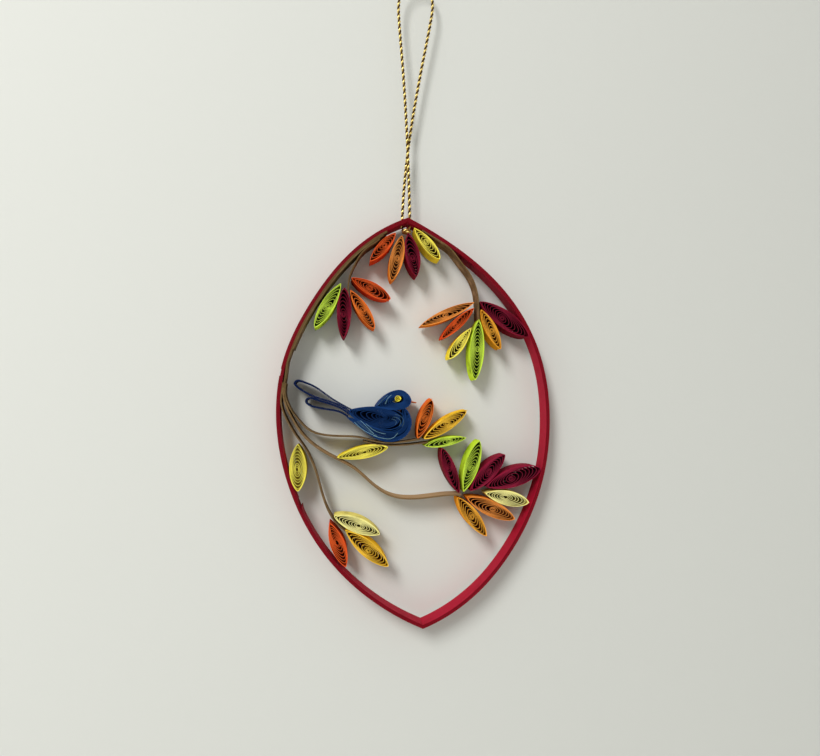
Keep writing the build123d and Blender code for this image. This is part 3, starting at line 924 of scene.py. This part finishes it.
def makeKnot(look):
    # The ends are tied in one round knot: a curve that goes twice round and three times through itself,
    # (R + r cos 3t) round the upright axis at 2t, and r sin 3t high.
    low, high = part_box("cord_knot")
    middle = (np.array(low) + np.array(high)) / 2 / mm
    t = np.linspace(0, 2 * np.pi, look["stations"], endpoint=False)
    out = look["big"] + look["small"] * np.cos(3 * t)
    line = np.stack([out * np.cos(2 * t), out * np.sin(2 * t), look["small"] * np.sin(3 * t)], 1) + middle
    along = np.linspace(0, look["length"], len(t))
    parts = [roundTube(line, look["thread"], look["sides"], True, 0.0, along)]
    return makePiece("cord_knot_tied", parts, goldThread, ["cord_knot"], "along")


cordPiece, cordPath, cordLength = makeCord(cord)
knotPiece = makeKnot(knot)
print("cord made, length", round(cordLength, 2), "mm")


# Wall and floor behind and below, and soft light from the upper left

stage = {
    "wallY": 3.6,         # mm, just behind the ornament's back
    "wallTop": 1500.0,    # mm
    "wallHalf": 1500.0,   # mm, half the width of wall and floor
    "floorZ": -420.0,     # mm
    "floorRun": 3000.0,   # mm, how far the floor comes forward
    "bend": 150.0,        # mm, radius of the sweep between wall and floor
    "bendSteps": 24,
    "wall": "#d4d5cf",
    "grain": 10 / 9,      # mm, of the plaster
    "bump": 0.03,         # mm
    "lamp": (-0.42, -0.66, 0.50),     # m, and it shines at the origin
    "lampSize": 0.42,     # m
    "lampPower": 9.2,     # W
    "roomColour": "#f6f6f4",
    "room": 0.62,         # strength of the light from all round
}


def makeStage(look):
    # a profile, wall, quarter bend and floor, carried straight from left to right
    turn = np.linspace(0, np.pi / 2, look["bendSteps"])
    bendY = look["wallY"] - look["bend"] + look["bend"] * np.cos(turn)
    bendZ = look["floorZ"] + look["bend"] - look["bend"] * np.sin(turn)
    y = np.concatenate([[look["wallY"]] * 2, bendY[1:], [look["wallY"] - look["floorRun"]]])
    z = np.concatenate([[look["wallTop"], look["floorZ"] + look["bend"]], bendZ[1:], [look["floorZ"]]])
    points = np.vstack([np.stack([np.full(len(y), x), y, z], 1)
                        for x in (-look["wallHalf"], look["wallHalf"])]) * mm
    k = np.arange(len(y) - 1)
    faces = np.stack([k, k + 1, len(y) + k + 1, len(y) + k], 1)
    mesh = bpy.data.meshes.new("wall_and_floor")
    mesh.from_pydata(points.tolist(), [], faces.tolist())
    mesh.polygons.foreach_set("use_smooth", np.ones(len(faces), bool))
    # painted plaster: dull, with a soft unevenness
    made, tree, output = newMaterial("painted_plaster")
    place = addNode(tree, "ShaderNodeTexCoord").outputs["Object"]
    grain = addNode(tree, "ShaderNodeTexNoise", None, {
        "Vector": place, "Scale": 1 / (look["grain"] * mm), "Detail": 4.0})
    relief = addNode(tree, "ShaderNodeBump", None, {
        "Height": grain.outputs["Fac"], "Distance": look["bump"] * mm, "Strength": 0.6})
    shader = addNode(tree, "ShaderNodeBsdfPrincipled", None, {
        "Base Color": linear(look["wall"]), "Roughness": 0.9, "IOR": 1.5, "Normal": relief.outputs["Normal"]})
    # seen from behind, the wall lets the eye through
    clear = addNode(tree, "ShaderNodeBsdfTransparent")
    side = addNode(tree, "ShaderNodeNewGeometry")
    mix = addNode(tree, "ShaderNodeMixShader", None, {
        0: side.outputs["Backfacing"], 1: shader.outputs["BSDF"], 2: clear.outputs["BSDF"]})
    tree.links.new(mix.outputs["Shader"], output.inputs["Surface"])
    mesh.materials.append(made)
    piece = bpy.data.objects.new("wall_and_floor", mesh)
    bpy.context.scene.collection.objects.link(piece)


def makeLight(look):
    # one soft lamp at the upper left, and an even pale room
    data = bpy.data.lights.new("window", "AREA")
    data.shape = "DISK"
    data.size = look["lampSize"]
    data.energy = look["lampPower"]
    lamp = bpy.data.objects.new("window", data)
    bpy.context.scene.collection.objects.link(lamp)
    x, y, z = look["lamp"]
    lamp.location = (x, y, z)
    lamp.rotation_euler = (math.atan2(math.hypot(x, y), z), 0, math.atan2(x, y) + math.pi)
    world = bpy.data.worlds.new("room")
    bpy.context.scene.world = world
    world.use_nodes = True
    background = world.node_tree.nodes["Background"]
    background.inputs["Color"].default_value = linear(look["roomColour"])
    background.inputs["Strength"].default_value = look["room"]


makeStage(stage)
makeLight(stage)
bpy.context.scene.view_settings.view_transform = "Standard"
print("stage and light made")
